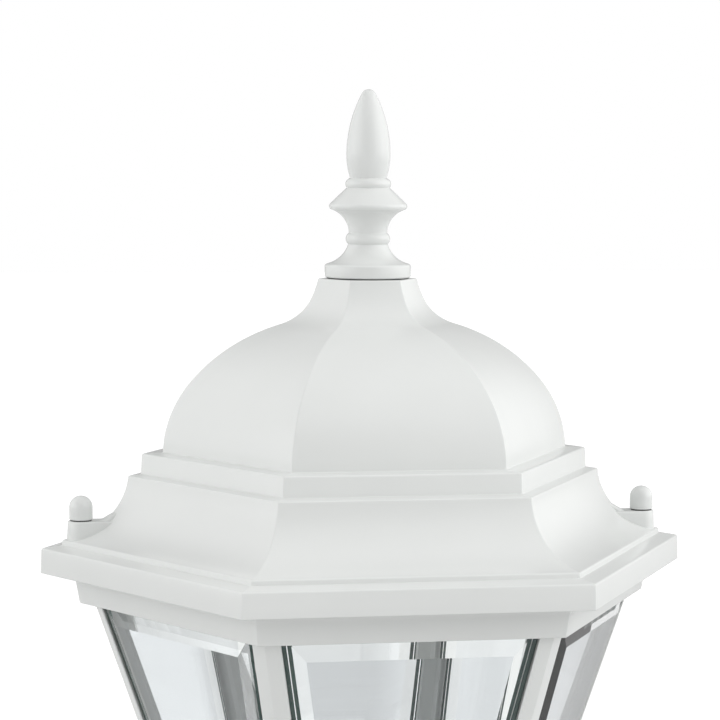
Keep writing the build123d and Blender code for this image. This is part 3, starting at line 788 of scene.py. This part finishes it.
# %% [markdown]
# ## Panes
# Each pane is thick plate with a wide bevel ground on the outside, steeper near the edge,
# and two narrow ground strips inside with a polished line between them. The strips and the
# edge carry painted shade, a dull dark green that stands for the dark bands that refraction
# gives along the posts. Each bevel is a prism that shows a shifted view of the far side. The
# mesh is a few exact planes, with no smoothing.

# %% Panes
TILT = math.atan(LEAN * COS30)
EDGE_THICK, FULL_THICK, BEVEL = 2.0, 4.0, 11.0
SIDE_BEVEL = 8.2
# play behind the post's lip, and half the gap between two panes at a post
PLAY, HALF_GAP = 0.16, 4.8
# (distance in from the edge, depth), from the inner face round the edge to the outer face
FACETS = (
    (3.9, 0),
    (2.3, 0.12),
    (1.9, 0.15),
    (0.3, 0.3),
    (0, 0.6),
    (0, 1.75),
    (0.25, EDGE_THICK),
    (BEVEL, FULL_THICK),
)
# material slot of each facet, in the same order, then the inner and the outer face; the
# ground facets get dark green painted shade and the outer face grey-blue painted shade
PAINTED_SHADE, POLISHED, FACE = 1, 0, 2
FACET_FINISH = (PAINTED_SHADE, POLISHED, PAINTED_SHADE, PAINTED_SHADE, PAINTED_SHADE, POLISHED, POLISHED)
PANE_TOP = 274.2
PANE_FOOT = FLOOR_TOP + EDGE_THICK * math.sin(TILT)


def pane_inside(height):
    """Flat distance of the inner face: under the post's lip by the edge's thickness."""
    lip = POST_HALF / 2 - LIP * COS30
    return post_radius(height) * COS30 + lip - (EDGE_THICK + PLAY) / math.cos(TILT)


def pane(angle):
    """Bevelled trapezoid on the +Y side, then turned into place.

    One loop of four corners for each pair in FACETS, moved in from the trapezoid's edge.
    """
    length = (PANE_TOP - PANE_FOOT) / math.cos(TILT)
    foot, head = (pane_inside(z) * TAN30 - HALF_GAP / COS30 for z in (PANE_FOOT, PANE_TOP))
    flare = (head - foot) / length
    stretch = math.sqrt(1 + flare**2)
    points = []
    for inset, depth in FACETS:
        low, high = inset, length - inset
        side = min(inset, SIDE_BEVEL) * stretch
        low_half, high_half = foot + flare * low - side, foot + flare * high - side
        for x, up in ((-low_half, low), (low_half, low), (high_half, high), (-high_half, high)):
            points.append((x, up, depth))
    # local axes: x to the left seen from outside, up the slope, and out of the face
    c, s = math.cos(TILT), math.sin(TILT)
    basis = np.array([[-1, 0, 0], [0, s, c], [0, c, -s]])
    points = np.array(points) @ basis + (0, pane_inside(PANE_FOOT), PANE_FOOT)
    return moved((points, capped(len(FACETS), 4)), about_z(angle))


FINISHES = np.append(np.repeat(FACET_FINISH, 4), [POLISHED, FACE]).astype(np.int32)
SIDES = ("back", "back_left", "front_left", "front", "front_right", "back_right")
for i, side in enumerate(SIDES):
    glass = piece(
        f"bevelled_pane_{side}",
        pane(60 * i),
        clear_glass,
        "cage",
        f"glass_pane_{side}",
        crease=1,
    )
    # slots for painted shade: dark green on the ground facets, grey-blue on the outer face
    for finish in (painted_shade_edge, shaded_face_glass):
        glass.data.materials.append(finish)
    glass.data.polygons.foreach_set("material_index", FINISHES)

# %% [markdown]
# ## Base and fitter
# The floor casting repeats the roof's language in small: a lip, a hollow cove and a neck.
# It is one outline again, with the wall's inner side drawn a few millimetres inside.

# %% Base casting
BASE_COVE, BASE_COVE_RADIUS, BASE_WALL = np.array([49.8, 87.5]), 10.0, 3.0
base_cove = BASE_COVE + BASE_COVE_RADIUS * toward(np.linspace(90, 180, 15))
base_inner = BASE_COVE + (BASE_COVE_RADIUS + BASE_WALL) * toward(np.linspace(180, 105.94, 14))
base_outline = soften(
    np.concatenate(
        [
            [(5.0, 105.0, 0), (5.0, 100.0, 0), (base_inner[-1][0], 100.0, 0.3)],
            bare(base_inner[-2:0:-1]),
            [(36.8, 87.5, 0), (36.8, 75.0, 0.3), (39.8, 75.0, 0.4)],
            bare(base_cove[::-1]),
            [(51.8, 99.5, 0.4), (51.8, 109.0, 0.7), (49.3, 109.0, 0.5), (49.3, 105.0, 0.3)],
        ]
    )
)
piece("floor_casting", six_sided(base_outline), white_coat, "cage", "cage_base")

# %% [markdown]
# The round fitter slides over the lamp post, rests on its end by a ledge, and is clamped by
# three screws. It is turned, and the screw holes are drilled through its wall, because a
# screw that moves in would otherwise cut through solid metal.

# %% Fitter
SCREW_ANGLES, SCREW_HEIGHT, SCREW_HOLE = (90, 210, 330), 22, 3.2
fitter_flare = arc_through((42.8, 54), (43.9, 61), (48.0, 66.5), 14)
fitter_outline = soften(
    np.concatenate(
        [
            [(39.2, 0, 0.3), (44.8, 0, 0.8), (44.8, 6, 0.8), (42.8, 8.5, 0.8)],
            bare(fitter_flare[:-1]),
            [(48.0, 66.5, 0.5), (48.0, 75.0, 1.2), (5.0, 75.0, 0.2), (5.0, 70.0, 0.2)],
            [(34.5, 70.0, 0.8), (34.5, 58.0, 0.3), (39.2, 58.0, 0.5)],
        ]
    )
)
screw_boss = turned(
    soften([(SCREW_HOLE, 40.5, 0), (8.0, 40.5, 0), (8.0, 47.0, 1.0), (SCREW_HOLE, 47.0, 0.4)]), 48
)
hole = turned([(0.001, 38.0), (SCREW_HOLE, 38.0), (SCREW_HOLE, 44.0), (0.001, 44.0)], 48)


def at_screws(shape):
    """The shape laid down and repeated at each of the three set screws."""
    return [moved(shape, lying(angle), (0, 0, SCREW_HEIGHT)) for angle in SCREW_ANGLES]


collar = drilled(turned(fitter_outline, 128), at_screws(hole))
print("fitter drilled:", len(collar[1]), "faces")
fitter_shapes = joined([collar, *at_screws(screw_boss)])
piece("post_collar", fitter_shapes, white_coat, "cage", "post_fitter")

# %% [markdown]
# The set screws have a hexagon head with its corners turned off and a helical thread. The
# head is a hexagon's outline in polar form, cut back to a circle at its top edge.

# %% Set screws
def hex_head(across, low, high, chamfer):
    """Hexagon with its top corners turned off to a cone.

    radius(a) = half across / cos(a folded to 30 degrees), cut at the chamfer's radius.
    """
    around = np.radians(np.arange(0, 360, 5))
    folded = np.mod(around + math.pi / 6, math.pi / 3) - math.pi / 6
    radius = across / 2 / np.cos(folded)
    height = np.array([low, high - chamfer, high, high])[:, None]
    limit = np.array([across, across, across / 2 * 0.97, 0.01])[:, None]
    points = about_axis(np.minimum(radius, limit), around, height)
    return points, capped(4, len(around), high=False)


screw = joined([threaded_rod(3.17, 1.27, 40.0, 52.2, 0.42), hex_head(11.1, 52.0, 56.4, 0.9)])
for number, shape in enumerate(at_screws(screw), 1):
    node = f"set_screw_{number}"
    piece(f"clamp_screw_{number}", shape, zinc_steel, node, node, crease=30)

# %% [markdown]
# ## Lampholder
# The lampholder stands on a hollow nipple that carries the wires. Its body is glazed
# porcelain in two halves, and the brass shell inside has the rolled thread of a lamp cap.

# %% Lampholder
def porcelain(name, outline, node, closed=True):
    """A turned piece of glazed porcelain on the cage."""
    shape = turned(outline, 96, closed=closed)
    piece(name, shape, glazed_porcelain, "cage", node)


holder_cap = soften(
    [
        (4.84, 114.0, 0.3),
        (12.5, 114.0, 1.0),
        (16.0, 118.0, 1.0),
        (16.0, 127.0, 0.4),
        (4.84, 127.0, 0),
    ]
)
porcelain("holder_cap", holder_cap, "socket_base")
holder_body = soften(
    [
        (0.01, 127.0, 0),
        (16.5, 127.0, 0.5),
        (18.0, 130.0, 0.8),
        (18.0, 163.0, 1.4),
        (16.5, 165.0, 0.8),
        (13.85, 165.0, 0.5),
        (13.85, 136.0, 0.3),
        (0.01, 136.0, 0),
    ],
    closed=False,
)
porcelain("holder_body", holder_body, "socket_body", closed=False)


def rolled_shell(radius, wall, pitch, low, high, depth, steps=64, per_turn=10):
    """Thin tube with a rounded helical thread pressed through its wall.

    radius(a, z) = mean - depth / 2 + depth / 2 * cos(2 pi z / pitch - a)
    """
    rows = int((high - low) / pitch * per_turn) + 1
    z = np.linspace(low, high, rows)[:, None]
    around = np.linspace(0, 2 * math.pi, steps, endpoint=False)[None]
    wave = depth / 2 * (np.cos(2 * math.pi * z / pitch - around) - 1)
    fade = np.clip(np.minimum(z - low, high - z) / 1.5, 0, 1)
    outer = radius + wave * fade
    outer = np.concatenate([outer, outer[::-1] - wall])
    z = np.concatenate([z, z[::-1]])
    return about_axis(outer, around, z), grid_quads(2 * rows, steps, wrap_rows=True)


shell = rolled_shell(13.75, 0.4, 3.63, 138.0, 163.0, 1.0)
piece("screw_shell", shell, brass, "cage", "socket_shell", crease=50)

# %% Nipple
NIPPLE_LOW, NIPPLE_HIGH, NIPPLE_STEPS = 60.0, 123.0, 40
outside = threaded_rod(4.8, 1.41, NIPPLE_LOW, NIPPLE_HIGH, 0.35, steps=NIPPLE_STEPS)[0]
bore = turned([(3.4, NIPPLE_HIGH), (3.4, NIPPLE_LOW)], NIPPLE_STEPS, closed=False)[0]
tube = np.concatenate([outside, bore])
nipple = tube, grid_quads(len(tube) // NIPPLE_STEPS, NIPPLE_STEPS, wrap_rows=True)
piece("threaded_nipple", nipple, zinc_steel, "cage", "wire_nipple", crease=60)

# %% [markdown]
# ## Small fittings
# Washers, nuts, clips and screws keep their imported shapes, which are right, and get the
# finish of the metal or rubber they are made of.

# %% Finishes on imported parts
PLAIN_PARTS = {
    dark_rubber: ("finial_gasket", "cap_washer_left", "cap_washer_right"),
    zinc_steel: (
        "finial_stud",
        "finial_washer",
        "finial_nut",
        "glass_clips",
        "clip_screws",
        "post_screws_top",
        "post_screws_foot",
        "nipple_washers",
        "nipple_nut_lower",
        "nipple_nut_upper",
        "socket_screws",
    ),
    brass: ("socket_contact",),
    green_screw: ("ground_screw",),
}
for material, names in PLAIN_PARTS.items():
    for name in names:
        for place in nodes[name].material_slots:
            place.material = material
print(sum(len(names) for names in PLAIN_PARTS.values()), "packed parts keep their shape")

# %% [markdown]
# ## Light and ground
# The picture is a studio shot: white all round, with tall soft boxes at the left and right
# and less light from the front. A world that is brighter on those sides does the same
# without any lamp showing in the glass as a hard shape.

# %% What the eye sees
def seen_directly(tree):
    """The Light Path node, and a value of 1 for rays from the camera or through glass."""
    path = tree.nodes.new("ShaderNodeLightPath")
    either = tree.nodes.new("ShaderNodeMath")
    either.operation = "MAXIMUM"
    tree.links.new(path.outputs["Is Camera Ray"], either.inputs[0])
    tree.links.new(path.outputs["Is Transmission Ray"], either.inputs[1])
    return path, either.outputs["Value"]


# %% World
world = bpy.data.worlds.new("studio")
bpy.context.scene.world = world
world.use_nodes = True
sky = world.node_tree
sky.nodes.clear()
link = sky.links.new
view = sky.nodes.new("ShaderNodeTexCoord")
CAMERA_SIDE = -90 - math.degrees(CAMERA_TURN)


def lobe(name, azimuth, elevation, inner, outer, strength):
    """Add a round patch of light to the world, full inside one angle and gone past another.

    level(d) = strength * smoothstep of the cosine between d and the patch's middle
    """
    level, up = toward(elevation)
    x, y = level * toward(CAMERA_SIDE + azimuth)
    cosine = sky.nodes.new("ShaderNodeVectorMath")
    cosine.operation = "DOT_PRODUCT"
    cosine.inputs[1].default_value = (x, y, up)
    patch = sky.nodes.new("ShaderNodeMapRange")
    patch.name = name
    patch.interpolation_type = "SMOOTHSTEP"
    patch.inputs["From Min"].default_value = math.cos(math.radians(outer))
    patch.inputs["From Max"].default_value = math.cos(math.radians(inner))
    patch.inputs["To Max"].default_value = strength
    link(view.outputs["Generated"], cosine.inputs[0])
    link(cosine.outputs["Value"], patch.inputs["Value"])
    return patch.outputs["Result"]


def total(sockets, start):
    """Add up values, starting from a constant."""
    for socket in sockets:
        add = sky.nodes.new("ShaderNodeMath")
        add.name = "sum"
        link(socket, add.inputs[0])
        if isinstance(start, float):
            add.inputs[1].default_value = start
        else:
            link(start, add.inputs[1])
        start = add.outputs["Value"]
    return start


# name, turn and height of the patch's middle, inner and outer angle, strength
LOBES = (
    ("front", 0, 0, 20, 50, -0.6),
    ("low_front", 0, -25, 10, 35, -0.1),
    ("high_front", 0, 45, 15, 40, -0.15),
    ("left", -65, 10, 15, 38, 1.05),
    ("high_left", -60, 50, 15, 40, -0.5),
    ("far_left", -110, 10, 20, 50, 0.6),
    ("right", 65, 10, 15, 38, 1.05),
    ("high_right", 60, 50, 15, 40, 0.3),
    ("far_right", 110, 10, 20, 50, 0.75),
    ("back", 180, 0, 40, 90, -0.6),
)
studio = sky.nodes.new("ShaderNodeBackground")
studio.inputs["Color"].default_value = (1, 1, 1, 1)
link(total([lobe(*patch) for patch in LOBES], 1.0), studio.inputs["Strength"])
white = sky.nodes.new("ShaderNodeBackground")
white.inputs["Color"].default_value = (1, 1, 1, 1)
white.inputs["Strength"].default_value = 1.0
choose = sky.nodes.new("ShaderNodeMixShader")
link(seen_directly(sky)[1], choose.inputs["Fac"])
link(studio.outputs["Background"], choose.inputs[1])
link(white.outputs["Background"], choose.inputs[2])
output = sky.nodes.new("ShaderNodeOutputWorld")
link(choose.outputs["Shader"], output.inputs["Surface"])

# %% [markdown]
# The floor is a wide sheet of pale paper. It catches the lantern's shadow by its own grey,
# and a glow that only the eye sees lifts it to the white of the background. Seen through
# glass the glow varies round the lantern, as the cards of a studio do.

# %% Floor
REACH = 8.0
square = [(-REACH, -REACH, 0), (REACH, -REACH, 0), (REACH, REACH, 0), (-REACH, REACH, 0)]
ground = mesh_object("ground", np.array(square), [(0, 1, 2, 3)])
paper = bpy.data.materials.new("paper")
paper.use_nodes = True
paper_tree = paper.node_tree
link = paper_tree.links.new
paper_shader = paper_tree.nodes["Principled BSDF"]
paper_shader.inputs["Base Color"].default_value = (0.72, 0.72, 0.72, 1)
paper_shader.inputs["Roughness"].default_value = 0.9
paper_shader.inputs["Specular IOR Level"].default_value = 0.0
paper_shader.inputs["Emission Color"].default_value = (1, 1, 1, 1)
ground.data.materials.append(paper)

# %% Glow of the floor
GLOW, DIM_GLOW = 0.4, 0.12
path, directly = seen_directly(paper_tree)
spot = paper_tree.nodes.new("ShaderNodeTexCoord")
around = paper_tree.nodes.new("ShaderNodeTexGradient")
around.gradient_type = "RADIAL"
cards = paper_tree.nodes.new("ShaderNodeTexNoise")
cards.noise_dimensions = "1D"
cards.inputs["Scale"].default_value = 46.0
cards.inputs["Detail"].default_value = 1.0
shade = paper_tree.nodes.new("ShaderNodeMapRange")
shade.inputs["From Min"].default_value = 0.35
shade.inputs["From Max"].default_value = 0.65
shade.inputs["To Min"].default_value = DIM_GLOW
shade.inputs["To Max"].default_value = GLOW
bright = paper_tree.nodes.new("ShaderNodeMix")
bright.inputs["B"].default_value = GLOW
glow = paper_tree.nodes.new("ShaderNodeMath")
glow.operation = "MULTIPLY"
link(spot.outputs["Object"], around.inputs["Vector"])
link(around.outputs["Fac"], cards.inputs["W"])
link(cards.outputs["Fac"], shade.inputs["Value"])
link(shade.outputs["Result"], bright.inputs["A"])
link(path.outputs["Is Camera Ray"], bright.inputs["Factor"])
link(directly, glow.inputs[0])
link(bright.outputs["Result"], glow.inputs[1])
link(glow.outputs["Value"], paper_shader.inputs["Emission Strength"])

# %% [markdown]
# Colours are shown as they are written, with no film curve. Light needs many bounces to
# pass the two panes in its way, because each pane takes two and the bevels more.

# %% Colours as they are
scene = bpy.context.scene
scene.view_settings.view_transform = "Standard"
scene.cycles.max_bounces = 24
scene.cycles.transmission_bounces = 24
scene.cycles.glossy_bounces = 12
